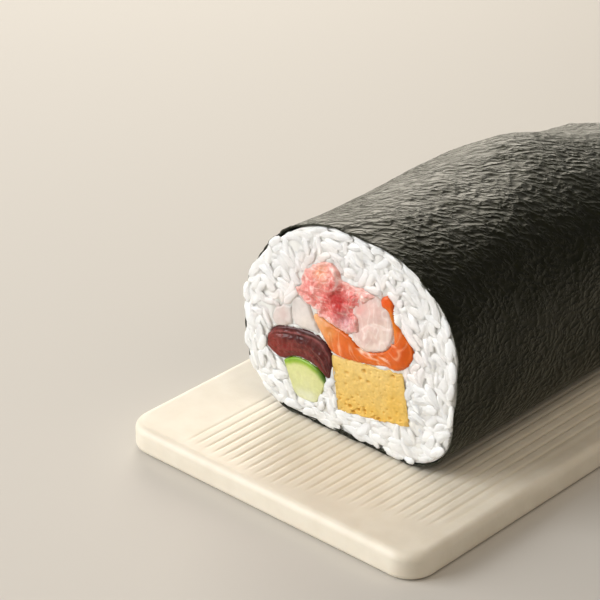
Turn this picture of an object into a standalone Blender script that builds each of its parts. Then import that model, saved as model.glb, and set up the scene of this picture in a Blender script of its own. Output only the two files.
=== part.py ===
"""A thick maki sushi roll lying on its ribbed ceramic plate. Metres, +Z up.

The plate's underside is at Z = 0 with its centre at the origin. The roll lies along Y, with
its cut face towards -Y. A section through the roll is drawn in x, z: x runs across from the
roll's own centre line and z up from the underside of the nori.
"""

from math import cos, hypot, pi, radians, sin

import bmesh
import bpy

MM = 0.001
GAP = 0.3 * MM  # left between neighbouring pieces

# Plate: a flat slab with round corners, and fine grooves pressed into its top.
PLATE_WIDTH = 83.0 * MM
PLATE_LENGTH = 150.0 * MM
PLATE_THICKNESS = 6.2 * MM
PLATE_CORNER_RADIUS = 6.5 * MM
PLATE_EDGE_RADIUS = 1.8 * MM
GROOVE_COUNT = 26
GROOVE_PITCH = 2.49 * MM
GROOVE_WIDTH = 0.9 * MM
GROOVE_DEPTH = 0.4 * MM
GROOVE_RIGHT_MARGIN = 4.3 * MM
GROOVE_END_MARGIN = 2.6 * MM
GROOVE_FADE_LENGTH = 5.0 * MM
GROOVE_END_SLOPE = 0.33  # how much further back each groove right of the middle starts

# Roll: a rounded loaf shape with a flat underside, narrowing a little at its far end.
ROLL_LENGTH = 92.0 * MM
ROLL_WIDTH = 60.2 * MM
ROLL_HEIGHT = 48.8 * MM
WAIST_HEIGHT = 23.6 * MM  # where the roll is widest
UNDERSIDE_SINK = 0.7 * MM  # how far the round underside would reach below the plate's top
ROLL_X = -0.9 * MM
ROLL_FRONT = -PLATE_LENGTH / 2 + 27.2 * MM
# Superellipse powers of the section's quarters: 2 is an ellipse, more is squarer.
UPPER_RIGHT, UPPER_LEFT, LOWER_LEFT, LOWER_RIGHT = 2.6, 1.87, 3.7, 3.9
TAPER_START = 58.0 * MM
TAPER = 0.115
WAVE_HEIGHT = 0.22 * MM  # the grains under the nori make it gently uneven
SECTION_COLUMNS = 56
SECTION_ROWS = 13

# Nori: one sheet wound round once, its end overlapping its start under the roll.
NORI_THICKNESS = 0.35 * MM
NORI_OVERLAP = 24.0 * MM
NORI_SEAM_GAP = 0.3 * MM
NORI_STEP = 6.0 * MM  # over this length the sheet climbs past its own thickness

# Rice faces: how much the cut ends bulge and dip.
FACE_RELIEF = 0.3 * MM
FACE_RINGS = (0.82, 0.6, 0.36, 0.15)

# Fillings
FILLING_POINTS = 26
FILLING_EDGE = 0.35 * MM  # rounding where a filling was cut through
TUNNEL_ROOM = 0.5 * MM  # from a filling to the rice
FILLING_ROWS = (0.0, 0.63, 0.75, 0.87, 1.0)
CUTTER_OVERSHOOT = 3.0 * MM
CUCUMBER_CENTRE = (-12.1 * MM, 4.8 * MM)
CUCUMBER_RADIUS = 9.3 * MM
CUCUMBER_ARC = (45.0, 129.0)  # degrees of skin left on the stick
CUCUMBER_FOOT = (4.4 * MM, 4.7 * MM)  # width and height of the trimmed heart side


def in_mm(*points):
    """Points written in millimetres, as metres."""
    return [tuple(value * MM for value in point) for point in points]


# Between fillings that are pressed together there is no rice: x, z and radius of each spot.
POCKETS = in_mm((-3.7, 18.8, 1.2), (10.6, 20.6, 1.0), (-15.3, 21.6, 1.0), (-7.6, 22.0, 1.0),
                (2.9, 23.8, 1.0), (1.3, 25.1, 1.5), (-9.8, 27.2, 1.4), (12.3, 28.2, 0.8),
                (14.1, 21.0, 0.8), (3.4, 34.7, 0.8))

# ---------------------------------------------------------------- outlines


def curve_point(before, start, end, after, t):
    """Catmull-Rom: the point at t between start and end, in any number of dimensions."""
    return tuple(
        0.5 * (2 * p1 + (p2 - p0) * t + (2 * p0 - 5 * p1 + 4 * p2 - p3) * t**2
               + (3 * p1 - p0 - 3 * p2 + p3) * t**3)
        for p0, p1, p2, p3 in zip(before, start, end, after)
    )


def even_outline(points, count):
    """The closed outline through the points, read again at count even steps."""
    lengths = [hypot(b[0] - a[0], b[1] - a[1]) for a, b in zip(points, points[1:] + points[:1])]
    step = sum(lengths) / count
    result = []
    travelled, index = 0.0, 0
    for number in range(count):
        target = number * step
        while travelled + lengths[index] < target:
            travelled += lengths[index]
            index += 1
        share = (target - travelled) / lengths[index]
        a, b = points[index], points[(index + 1) % len(points)]
        result.append((a[0] + (b[0] - a[0]) * share, a[1] + (b[1] - a[1]) * share))
    return result


def smooth_outline(points, count=FILLING_POINTS):
    """A closed smooth curve through a few points, counter-clockwise, at even steps."""
    dense = []
    for index in range(len(points)):
        around = [points[(index + shift) % len(points)] for shift in (-1, 0, 1, 2)]
        dense += [curve_point(*around, t / 8) for t in range(8)]
    return even_outline(dense, count)


def arc(centre, radius, first, last, steps):
    """Points on a circle from one angle to another, in degrees."""
    angles = [radians(first + (last - first) * i / steps) for i in range(steps + 1)]
    return [(centre[0] + radius * cos(a), centre[1] + radius * sin(a)) for a in angles]


def rounded_polygon(corners, radius, steps=3):
    """Corners, counter-clockwise, each cut by a curve that starts one radius before it."""
    outline = []
    for index, corner in enumerate(corners):
        ends = []
        for other in (corners[index - 1], corners[(index + 1) % len(corners)]):
            reach = radius / hypot(other[0] - corner[0], other[1] - corner[1])
            ends.append(tuple(c + (o - c) * reach for c, o in zip(corner, other)))
        for i in range(steps + 1):
            t = i / steps
            outline.append(tuple(
                a * (1 - t) ** 2 + 2 * c * t * (1 - t) + b * t**2
                for a, c, b in zip(ends[0], corner, ends[1])
            ))
    return outline


def band_outline(path, count):
    """A slice of changing thickness: each point of the path is x, z and half the thickness."""
    path = [path[0]] + path + [path[-1]]
    spine = []
    for index in range(1, len(path) - 2):
        spine += [curve_point(*path[index - 1:index + 3], t / 4) for t in range(4)]
    spine.append(path[-1])
    left, right = [], []
    for index, (x, z, half) in enumerate(spine):
        ahead = spine[min(index + 1, len(spine) - 1)]
        behind = spine[max(index - 1, 0)]
        run = hypot(ahead[0] - behind[0], ahead[1] - behind[1])
        across = ((ahead[1] - behind[1]) / run * half, -(ahead[0] - behind[0]) / run * half)
        right.append((x + across[0], z + across[1]))
        left.append((x - across[0], z - across[1]))
    tips = []
    for end, inner in ((spine[-1], spine[-2]), (spine[0], spine[1])):
        run = hypot(end[0] - inner[0], end[1] - inner[1])
        tips.append((end[0] + (end[0] - inner[0]) / run * end[2],
                     end[1] + (end[1] - inner[1]) / run * end[2]))
    return even_outline(right + tips[:1] + left[::-1] + tips[1:], count)


def grown(outline, distance):
    """The counter-clockwise outline moved outwards along the normal at each point."""
    moved = []
    for index, (x, z) in enumerate(outline):
        before, after = outline[index - 1], outline[(index + 1) % len(outline)]
        run = hypot(after[0] - before[0], after[1] - before[1])
        moved.append((x + (after[1] - before[1]) / run * distance,
                      z - (after[0] - before[0]) / run * distance))
    return moved


def superellipse(centre, half_width, half_height, power, count=FILLING_POINTS):
    """A rounded oval, counter-clockwise: power 2 is an ellipse, more is squarer."""
    points = []
    for index in range(count):
        c, s = cos(2 * pi * index / count), sin(2 * pi * index / count)
        points.append((centre[0] + half_width * abs(c) ** (2 / power) * (1 if c > 0 else -1),
                       centre[1] + half_height * abs(s) ** (2 / power) * (1 if s > 0 else -1)))
    return points


# ---------------------------------------------------------------- the roll's form


def roll_outline():
    """The roll's section, counter-clockwise from the middle of its flat underside."""
    points = []
    steps = 720
    for index in range(steps):
        angle = 2 * pi * index / steps - pi / 2
        c, s = cos(angle), sin(angle)
        if s > 0:
            power, half_height = (UPPER_RIGHT if c > 0 else UPPER_LEFT), ROLL_HEIGHT - WAIST_HEIGHT
        else:
            power, half_height = (LOWER_RIGHT if c > 0 else LOWER_LEFT), WAIST_HEIGHT + UNDERSIDE_SINK
        x = ROLL_WIDTH / 2 * abs(c) ** (2 / power) * (1 if c > 0 else -1)
        z = WAIST_HEIGHT + half_height * abs(s) ** (2 / power) * (1 if s > 0 else -1)
        points.append((x, max(z, 0.0)))
    return even_outline(points, 4 * SECTION_COLUMNS)


ROLL_OUTLINE = roll_outline()
ROLL_NORMALS = [(b[0] - a[0], b[1] - a[1]) for a, b in zip(ROLL_OUTLINE, grown(ROLL_OUTLINE, 1.0))]
PERIMETER = sum(
    hypot(b[0] - a[0], b[1] - a[1])
    for a, b in zip(ROLL_OUTLINE, ROLL_OUTLINE[1:] + ROLL_OUTLINE[:1])
)


def smoothstep(t):
    t = min(max(t, 0.0), 1.0)
    return t * t * (3 - 2 * t)


def taper(along):
    """Scale of the section at this distance from the cut face."""
    return 1 - TAPER * smoothstep((along - TAPER_START) / (ROLL_LENGTH - TAPER_START))


def wave(around, along, height):
    """Gentle unevenness, none on the flat underside."""
    turn = 2 * pi * around / PERIMETER
    swing = sin(4 * turn + along / (9 * MM)) + 0.7 * sin(7 * turn - along / (6 * MM) + 1.3)
    return WAVE_HEIGHT * swing * smoothstep((height - 3 * MM) / (12 * MM))


def roll_point(around, along, inset):
    """A point of the roll's skin, or below it by inset.

    around is the distance along the section from the middle of the underside, and along is
    the distance from the cut face.
    """
    position = (around / PERIMETER) % 1.0 * len(ROLL_OUTLINE)
    index, share = int(position), position % 1.0
    following = (index + 1) % len(ROLL_OUTLINE)
    x, z = (a + (b - a) * share for a, b in zip(ROLL_OUTLINE[index], ROLL_OUTLINE[following]))
    normal = [a + (b - a) * share for a, b in zip(ROLL_NORMALS[index], ROLL_NORMALS[following])]
    scale = taper(along)
    outwards = wave(around, along, z) - inset
    return (x * scale + normal[0] * outwards, z * scale + normal[1] * outwards)


def climb(around):
    """1 where the sheet's start lies over its own end, falling to 0 past the overlap."""
    past = abs(around) - NORI_OVERLAP / 2 - GAP
    return 1 - smoothstep(past / NORI_STEP)


def place(point, along):
    """A section point, at its distance from the cut face, in the part's frame."""
    return (ROLL_X + point[0], ROLL_FRONT + along, PLATE_THICKNESS + GAP + point[1])


# ---------------------------------------------------------------- making objects


def clear_scene():
    for thing in list(bpy.data.objects):
        bpy.data.objects.remove(thing, do_unlink=True)


def new_collection(name):
    collection = bpy.data.collections.new(name)
    bpy.context.scene.collection.children.link(collection)
    return collection


def new_object(name, mesh, collection, material=None, smooth_angle=35):
    thing = bpy.data.objects.new(name, mesh)
    collection.objects.link(thing)
    if material is not None:
        mesh.materials.append(material)
        mesh.shade_smooth()
        mesh.set_sharp_from_angle(angle=radians(smooth_angle))
    return thing


def new_material(name, colour, roughness):
    material = bpy.data.materials.new(name)
    material.use_nodes = True
    shader = material.node_tree.nodes["Principled BSDF"]
    shader.inputs["Base Color"].default_value = (*colour, 1.0)
    shader.inputs["Roughness"].default_value = roughness
    shader.inputs["Metallic"].default_value = 0.0
    return material


def mesh_from_bmesh(name, shape):
    mesh = bpy.data.meshes.new(name)
    bmesh.ops.recalc_face_normals(shape, faces=shape.faces)
    shape.to_mesh(mesh)
    shape.free()
    return mesh


def loft(name, rings):
    """A closed skin over rings of the same number of points, with a flat face on each end."""
    shape = bmesh.new()
    rows = [[shape.verts.new(point) for point in ring] for ring in rings]
    for row, following in zip(rows, rows[1:]):
        for index in range(len(row)):
            shape.faces.new((row[index - 1], row[index], following[index], following[index - 1]))
    shape.faces.new(rows[0])
    shape.faces.new(rows[-1])
    return mesh_from_bmesh(name, shape)


def as_cutter(thing):
    thing.hide_render = True
    thing.display_type = "WIRE"


def cut(thing, cutter, solver="EXACT"):
    boolean = thing.modifiers.new("Cut by " + cutter.name, "BOOLEAN")
    boolean.operation = "DIFFERENCE"
    boolean.solver = solver
    boolean.object = cutter


# ---------------------------------------------------------------- plate


def groove_rings(number):
    """Diamond sections of one groove's cutter, pointed and rising at both ends."""
    x = PLATE_WIDTH / 2 - GROOVE_RIGHT_MARGIN - GROOVE_PITCH * (GROOVE_COUNT - 1 - number)
    shallow = min(1.0, 0.45 + 0.2 * number)  # the first ones on the left are faint
    front = -PLATE_LENGTH / 2 + GROOVE_END_MARGIN + GROOVE_END_SLOPE * max(x, 0.0)
    back = PLATE_LENGTH / 2 - GROOVE_END_MARGIN
    stations = ((front, 0.06), (front + GROOVE_FADE_LENGTH, 1.0),
                (back - GROOVE_FADE_LENGTH, 1.0), (back, 0.06))
    rings = []
    for y, share in stations:
        half = GROOVE_WIDTH / 2 * share * shallow
        depth = GROOVE_DEPTH * share * shallow
        rings.append([(x - half, y, PLATE_THICKNESS), (x, y, PLATE_THICKNESS - depth),
                      (x + half, y, PLATE_THICKNESS), (x, y, PLATE_THICKNESS + depth)])
    return rings


def make_plate(parts, cutters):
    shape = bmesh.new()
    bmesh.ops.create_cube(shape, size=1.0)
    bmesh.ops.scale(shape, vec=(PLATE_WIDTH, PLATE_LENGTH, PLATE_THICKNESS), verts=shape.verts)
    bmesh.ops.translate(shape, vec=(0.0, 0.0, PLATE_THICKNESS / 2), verts=shape.verts)
    uprights = [
        edge for edge in shape.edges
        if abs(edge.verts[0].co.z - edge.verts[1].co.z) > PLATE_THICKNESS / 2
    ]
    bmesh.ops.bevel(shape, geom=uprights, offset=PLATE_CORNER_RADIUS, segments=6,
                    profile=0.5, affect="EDGES")
    glaze = new_material("ivory glazed ceramic", (0.80, 0.73, 0.58), 0.35)
    plate = new_object("plate", mesh_from_bmesh("plate", shape), parts, glaze)
    rim = plate.modifiers.new("Rounded rim", "BEVEL")
    rim.width = PLATE_EDGE_RADIUS
    rim.segments = 3
    rim.limit_method = "ANGLE"
    rim.angle_limit = radians(60)
    for number in range(GROOVE_COUNT):
        name = f"groove {number + 1}"
        groove = new_object(name, loft(name, groove_rings(number)), cutters)
        as_cutter(groove)
        cut(plate, groove)


# ---------------------------------------------------------------- nori and rice


def row_distances():
    """Distances of the section rows from the cut face, closer together along the taper."""
    shares = [index / (SECTION_ROWS - 1) for index in range(SECTION_ROWS)]
    return [ROLL_LENGTH * (share - 0.12 * sin(pi * share) * (1 - share)) for share in shares]


def make_nori(parts):
    """The sheet's outer surface, from its inner start to its outer end, given its thickness."""
    columns = round((PERIMETER + NORI_OVERLAP) / PERIMETER * SECTION_COLUMNS)
    start = -NORI_OVERLAP / 2
    length = PERIMETER + NORI_OVERLAP
    shape = bmesh.new()
    rows = []
    for along in row_distances():
        row = []
        for column in range(columns + 1):
            around = start + length * column / columns
            under = climb(around) * (NORI_THICKNESS + NORI_SEAM_GAP)
            row.append(shape.verts.new(place(roll_point(around, along, under), along)))
        rows.append(row)
    for row, following in zip(rows, rows[1:]):
        for i in range(columns):
            shape.faces.new((following[i], following[i + 1], row[i + 1], row[i]))
    mesh = bpy.data.meshes.new("nori")
    shape.to_mesh(mesh)
    shape.free()
    seaweed = new_material("toasted nori", (0.012, 0.018, 0.014), 0.5)
    nori = new_object("nori", mesh, parts, seaweed)
    sheet = nori.modifiers.new("Sheet thickness", "SOLIDIFY")
    sheet.thickness = NORI_THICKNESS
    sheet.offset = -1.0
    sheet.use_even_offset = True


def rice_ring(along, scale=1.0, relief=0.0):
    """One ring of the rice, full size or shrunk about the section's middle for an end face."""
    middle = (0.0, WAIST_HEIGHT * taper(along))
    ring = []
    for column in range(SECTION_COLUMNS):
        around = PERIMETER * column / SECTION_COLUMNS
        nearest = around if around < PERIMETER / 2 else around - PERIMETER
        inset = NORI_THICKNESS + GAP + climb(nearest) * (NORI_THICKNESS + NORI_SEAM_GAP)
        x, z = roll_point(around, along, inset)
        x, z = middle[0] + (x - middle[0]) * scale, middle[1] + (z - middle[1]) * scale
        bulge = relief * sin(x / (2.7 * MM) + 1.0) * sin(z / (2.3 * MM) + 0.4)
        px, py, pz = place((x, z), along)
        ring.append((px, py + bulge, pz))
    return ring


def tunnel_outlines(fillings):
    """What is bored out of the rice: room round each filling, and where only fillings meet."""
    outlines = [grown(outline, TUNNEL_ROOM) for outline in fillings.values()]
    outlines += [superellipse((x, z), radius, radius, 2, 10) for x, z, radius in POCKETS]
    return outlines


def make_rice(parts, cutters, fillings):
    """The packed rice with an uneven face at each end, bored through for every filling."""
    rows = row_distances()
    rings = [rice_ring(rows[0], scale, FACE_RELIEF) for scale in reversed(FACE_RINGS)]
    rings += [rice_ring(along) for along in rows]
    rings += [rice_ring(rows[-1], scale, FACE_RELIEF) for scale in FACE_RINGS]
    grain = new_material("steamed white rice", (0.86, 0.85, 0.80), 0.4)
    rice = new_object("rice", loft("rice", rings), parts, grain)
    for number, outline in enumerate(tunnel_outlines(fillings)):
        name = f"tunnel {number + 1}"
        tunnel = new_object(name, loft(name, filling_rings(outline, -CUTTER_OVERSHOOT)), cutters)
        as_cutter(tunnel)
        cut(rice, tunnel, "MANIFOLD")  # the tunnels overlap, and EXACT loses the rice


# ---------------------------------------------------------------- fillings


def filling_rings(outline, inset, edge=0.0):
    """The outline carried along the roll, shrinking with it, inset from both ends.

    With an edge, the first and last rings are a little smaller, which rounds the cut.
    """
    rings = []
    for row in FILLING_ROWS:
        along = inset + (ROLL_LENGTH - 2 * inset) * row
        scale = taper(along)
        rings.append([place((x * scale, z * scale), along) for x, z in outline])
    if edge:
        small = grown(outline, -edge)
        for end, along in ((0, inset), (-1, ROLL_LENGTH - inset)):
            scale = taper(along)
            cap = [place((x * scale, z * scale), along) for x, z in small]
            rings[end] = [(x, y + (edge if end == 0 else -edge), z) for x, y, z in rings[end]]
            rings.insert(0 if end == 0 else len(rings), cap)
    return rings


def cucumber_outline():
    """A stick cut lengthwise: an arc of skin on top, narrowing to the trimmed heart."""
    skin = arc(CUCUMBER_CENTRE, CUCUMBER_RADIUS, *CUCUMBER_ARC, 10)
    half, height = CUCUMBER_FOOT[0] / 2, CUCUMBER_FOOT[1]
    middle = CUCUMBER_CENTRE[0] + 0.5 * MM
    left_side = [(middle - 1.9 * half, height + 2.6 * MM), (middle - half, height)]
    right_side = [(middle + half, height), (middle + 1.9 * half, height + 2.6 * MM)]
    return even_outline(skin + left_side + right_side, FILLING_POINTS)


def tuna_outline():
    """A slab of fish draped over the cucumber: its underside follows the skin."""
    under = arc(CUCUMBER_CENTRE, CUCUMBER_RADIUS + 1.8 * GAP, 50, 128, 6)[::-1]
    top = in_mm((-4.5, 12.4), (-4.2, 15.5), (-4.4, 18.7), (-6.3, 20.9), (-9.5, 21.5),
                (-15.5, 20.9), (-20.2, 19.5), (-22.7, 16.9), (-22.8, 13.9), (-20.6, 12.7))
    return smooth_outline(under + top)


def filling_outlines():
    """Each filling's section, counter-clockwise, as it lies in the rice."""
    return {
        "marinated_tuna": tuna_outline(),
        "cucumber": cucumber_outline(),
        "tamagoyaki": rounded_polygon(
            in_mm((-3.8, 18.2), (-1.8, 5.6), (17.3, 9.2), (15.3, 20.7)), 1.0 * MM
        ),
        "salmon": band_outline(
            in_mm((-9.2, 26.3, 0.7), (-6.1, 24.2, 1.8), (-2.8, 22.3, 3.1), (0.2, 21.7, 2.8),
                  (3.2, 21.2, 1.7), (6.5, 21.6, 1.4), (9.8, 22.5, 1.5), (13.6, 24.1, 2.7),
                  (15.2, 27.0, 2.9), (14.2, 29.6, 1.5), (13.0, 32.2, 0.6), (12.1, 34.6, 0.6),
                  (10.6, 36.7, 1.0)),
            44,
        ),
        "shrimp": smooth_outline(
            in_mm((2.4, 24.6), (5.2, 23.6), (8.6, 24.5), (11.2, 26.5), (12.0, 29.4), (11.6, 32.6),
                  (9.9, 35.2), (7.0, 35.8), (4.2, 34.8), (2.7, 32.2), (2.2, 28.4))
        ),
        "minced_tuna": smooth_outline(
            in_mm((-5.2, 26.5), (-3.0, 25.9), (0.2, 25.6), (1.6, 27.6), (1.9, 31.6), (2.9, 35.0),
                  (4.4, 36.6), (0.6, 36.6), (-1.5, 37.2), (-3.9, 39.6), (-6.9, 39.2),
                  (-10.6, 36.7), (-12.4, 34.4), (-12.7, 32.6), (-14.4, 30.9), (-12.6, 29.2),
                  (-8.4, 27.6)),
            34,
        ),
        "white_fish_right": smooth_outline(
            in_mm((-14.9, 28.4), (-15.2, 23.6), (-14.6, 22.0), (-9.6, 22.2), (-8.0, 22.5),
                  (-9.9, 25.5), (-11.6, 28.0))
        ),
        "white_fish_left": smooth_outline(
            in_mm((-16.2, 25.8), (-19.3, 24.7), (-21.2, 21.6), (-20.1, 20.3), (-16.4, 21.5),
                  (-15.9, 23.6))
        ),
    }


FILLING_LOOKS = {
    "marinated_tuna": ("soy-marinated tuna", (0.12, 0.012, 0.012), 0.3),
    "cucumber": ("cucumber", (0.56, 0.62, 0.25), 0.35),
    "tamagoyaki": ("rolled egg omelette", (0.78, 0.52, 0.12), 0.55),
    "salmon": ("raw salmon", (0.80, 0.20, 0.05), 0.3),
    "shrimp": ("shrimp", (0.80, 0.58, 0.50), 0.3),
    "minced_tuna": ("minced fatty tuna", (0.75, 0.25, 0.20), 0.35),
    "white_fish_right": ("white fish", (0.72, 0.65, 0.60), 0.3),
    "white_fish_left": ("white fish", (0.72, 0.65, 0.60), 0.3),
}


def make_fillings(parts, fillings):
    for name, outline in fillings.items():
        mesh = loft(name, filling_rings(outline, 0.0, FILLING_EDGE))
        new_object(name, mesh, parts, new_material(*FILLING_LOOKS[name]))


def main():
    clear_scene()
    parts = new_collection("maki sushi roll")
    cutters = new_collection("cutters")
    fillings = filling_outlines()
    make_plate(parts, cutters)
    make_nori(parts)
    make_rice(parts, cutters, fillings)
    make_fillings(parts, fillings)


main()
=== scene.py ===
"""Looks of a thick maki sushi roll lying on its ribbed ceramic plate.

Shapes are worked out in millimetres, and turned to metres as each mesh is made. The roll's
section is drawn in x and z, as it lies: x runs across from its centre line and z up from the
underside of the nori. "Along" is the distance back from its cut face.
"""

from math import radians

import bmesh
import bpy
import numpy as np
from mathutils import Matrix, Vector


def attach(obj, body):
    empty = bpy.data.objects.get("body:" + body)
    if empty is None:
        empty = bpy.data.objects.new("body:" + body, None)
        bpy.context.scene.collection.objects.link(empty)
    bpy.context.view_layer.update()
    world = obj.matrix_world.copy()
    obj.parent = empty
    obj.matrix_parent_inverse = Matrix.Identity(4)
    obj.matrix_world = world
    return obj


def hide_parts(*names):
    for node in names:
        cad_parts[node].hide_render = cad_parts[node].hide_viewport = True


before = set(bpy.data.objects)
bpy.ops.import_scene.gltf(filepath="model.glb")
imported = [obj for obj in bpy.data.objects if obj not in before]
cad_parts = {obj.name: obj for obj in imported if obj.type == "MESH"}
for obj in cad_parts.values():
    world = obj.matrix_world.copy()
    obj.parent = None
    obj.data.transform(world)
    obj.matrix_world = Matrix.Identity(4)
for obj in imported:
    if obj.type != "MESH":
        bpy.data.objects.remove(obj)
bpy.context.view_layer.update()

MM = 0.001
SAME_PLACE = 1e-7  # metres between points that are merged

# Plate
PLATE_WIDTH = 83.0
PLATE_LENGTH = 150.0
PLATE_THICKNESS = 6.2
PLATE_CORNER = 6.5
PLATE_EDGE = 1.9  # the glaze rounds the top edge
PLATE_EDGE_STEPS = 9
PLATE_FOOT_EDGE = 1.2
PLATE_LONG_STEP = 1.15  # between points along the grooves
PLATE_UNEVEN = 0.05  # how far the fired slab strays from flat
CORNER_X = PLATE_WIDTH / 2 - PLATE_CORNER
CORNER_Y = PLATE_LENGTH / 2 - PLATE_CORNER
GROOVE_COUNT = 26
GROOVE_PITCH = 2.49
GROOVE_WIDTH = 1.15
GROOVE_DEPTH = 0.18
GROOVE_TINT = 0.6  # how much of the pooled glaze's colour shows in a groove
LAST_GROOVE = 37.2
GROOVE_FRONT = -72.7  # where the grooves left of the middle start
GROOVE_BACK = 72.4
GROOVE_FADE = 5.0

# Roll
ROLL_LENGTH = 92.0
ROLL_WIDTH = 60.2
ROLL_HEIGHT = 48.8
WAIST_HEIGHT = 23.6
UNDERSIDE_SINK = 0.7
ROLL_X = -0.9
ROLL_FRONT = -47.8
ROLL_SEAT = 6.5  # the nori's underside above the table
UPPER_RIGHT, UPPER_LEFT, LOWER_LEFT, LOWER_RIGHT = 2.6, 1.87, 3.7, 3.9
TAPER_START = 58.0
TAPER = 0.115
WAVE = 0.22  # how far the skin swings in and out round the roll
SECTION_POINTS = 1200

# Nori
NORI_THICKNESS = 0.3
NORI_OVERLAP = 24.0
NORI_SEAM_GAP = 0.3
NORI_STEP = 6.0

# Rice
GRAIN_LENGTH = 5.0
GRAIN_WIDTH = 2.15
GRAIN_RIM = 0.95  # from a grain's middle line to the skin
GRAIN_THROWS = 15000
GRAIN_PRESS = 0.3  # what the knife leaves of a grain's depth
GRAIN_POINTS = 42  # five rings of eight, and two tips
CORE_SETBACK = 0.36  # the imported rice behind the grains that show
CORE_INSET = 0.75  # from the nori's outside
CORE_HOLLOW = 3.0  # behind each filling's face

# Stage, in metres
FILL_STRENGTH = 0.22
LENS = 153.06  # millimetres
SENSOR = 36
CAMERA_PLACE = (0.3114, -0.4030, 0.2875)
CAMERA_TILT = 62.34
CAMERA_TURN = 42.5

PIT_STRETCH = np.array([0.9, 0.8])


# Numbers

def smoothstep(t):
    """0 below 0, 1 above 1, and t squared times (3 - 2t) between."""
    t = np.clip(t, 0, 1)
    return t * t * (3 - 2 * t)


def bell(distance, width):
    """e to the minus square of distance over width."""
    return np.exp(-(distance / width) ** 2)


def hashed(corner, seed):
    """One even random number from 0 to 1 for each whole-number corner, the same every run."""
    key = np.full(corner.shape[:-1], seed * 974711 + 1013, np.uint64)
    for axis, prime in enumerate((73856093, 19349663, 83492791)[:corner.shape[-1]]):
        key ^= corner[..., axis].astype(np.int64).astype(np.uint64) * np.uint64(prime)
        key = (key ^ (key >> np.uint64(31))) * np.uint64(0x9E3779B97F4A7C15)
    key ^= key >> np.uint64(29)
    return (key >> np.uint64(11)).astype(float) / 2.0**53


def noise(points, cell, seed):
    """Smooth value noise from -1 to 1.

    Random values sit at the corners of a lattice of this cell size, and are blended by the
    smoothstep of the place between them.
    """
    scaled = np.asarray(points, float) / cell
    corner = np.floor(scaled)
    share = smoothstep(scaled - corner)
    total = np.zeros(scaled.shape[:-1])
    axes = scaled.shape[-1]
    for number in range(2**axes):
        step = np.array([(number >> axis) & 1 for axis in range(axes)])
        weight = np.prod(np.where(step, share, 1 - share), axis=-1)
        total += weight * hashed(corner + step, seed)
    return 2 * total - 1


def noises(points, *layers):
    """Noises added up. Each layer is a height, a cell size and a seed."""
    return sum(height * noise(points, cell, seed) for height, cell, seed in layers)


def pair(first, second):
    """Two arrays side by side, as the coordinates of points."""
    return np.stack([first, second], -1)


def pits(points, cell, share, radius, seed):
    """Round pits, 1 at their middle and 0 outside.

    Each lattice cell may hold one, at a random place in it. Its depth is 1 minus the square
    of the distance over its radius.
    """
    corner = np.floor(np.asarray(points, float) / cell)
    deepest = np.zeros(corner.shape[:-1])
    for dx in (-1, 0, 1):
        for dz in (-1, 0, 1):
            near = corner + (dx, dz)
            place = pair(hashed(near, seed), hashed(near, seed + 1))
            size = radius * (0.55 + 0.65 * hashed(near, seed + 2))
            away = np.linalg.norm((points - (near + place) * cell) / PIT_STRETCH, axis=-1)
            pit = np.clip(1 - (away / size) ** 2, 0, 1) * (hashed(near, seed + 3) < share)
            deepest = np.maximum(deepest, pit)
    return deepest


def smooth_line(controls, count):
    """A Catmull-Rom curve through the control points, read at count even steps."""
    controls = np.asarray(controls, float)
    ends = np.vstack([2 * controls[0] - controls[1], controls, 2 * controls[-1] - controls[-2]])
    t = np.linspace(0, len(controls) - 1, 40 * len(controls))
    index = np.minimum(t.astype(int), len(controls) - 2)
    t = (t - index)[:, None]
    a, b, c, d = (ends[index + step] for step in range(4))
    dense = 0.5 * (2 * b + (c - a) * t + (2 * a - 5 * b + 4 * c - d) * t**2
                   + (3 * b - a - 3 * c + d) * t**3)
    length = np.append(0, np.cumsum(np.linalg.norm(np.diff(dense, axis=0), axis=1)))
    even = np.linspace(0, length[-1], count)
    return np.stack([np.interp(even, length, column) for column in dense.T], -1)


def arc(centre, radius, first, last, count):
    """Points on a circle between two angles in degrees: centre plus radius times cos, sin."""
    angle = np.radians(np.linspace(first, last, count))
    return np.array(centre) + radius * pair(np.cos(angle), np.sin(angle))


def inside(points, loop):
    """Whether each point is inside the closed loop: a ray from it crosses an odd number of
    sides."""
    x, z = points[..., 0, None], points[..., 1, None]
    ax, az = loop.T
    bx, bz = np.roll(loop, -1, axis=0).T
    spans = (az > z) != (bz > z)
    rise = np.where(bz == az, 1, bz - az)
    crosses = spans & (x < ax + (z - az) / rise * (bx - ax))
    return crosses.sum(-1) % 2 == 1


def distance_to(points, loop):
    """Distance of each point from the nearest point of a dense loop."""
    flat = points.reshape(-1, 2)
    nearest = [np.sqrt(((part[:, None] - loop) ** 2).sum(-1)).min(1)
               for part in np.array_split(flat, max(1, len(flat) // 4000))]
    return np.concatenate(nearest).reshape(points.shape[:-1])


# Meshes

def quads(rows, columns, close_rows=False, close_columns=False):
    """Faces of a grid of points, row after row, joined round where asked."""
    row = np.arange(rows if close_rows else rows - 1)[:, None]
    column = np.arange(columns if close_columns else columns - 1)[None]
    next_row, next_column = (row + 1) % rows, (column + 1) % columns
    corners = [row * columns + column, row * columns + next_column,
               next_row * columns + next_column, next_row * columns + column]
    every = [np.broadcast_to(corner, (row.size, column.size)) for corner in corners]
    return np.stack(every, -1).reshape(-1, 4)


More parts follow.
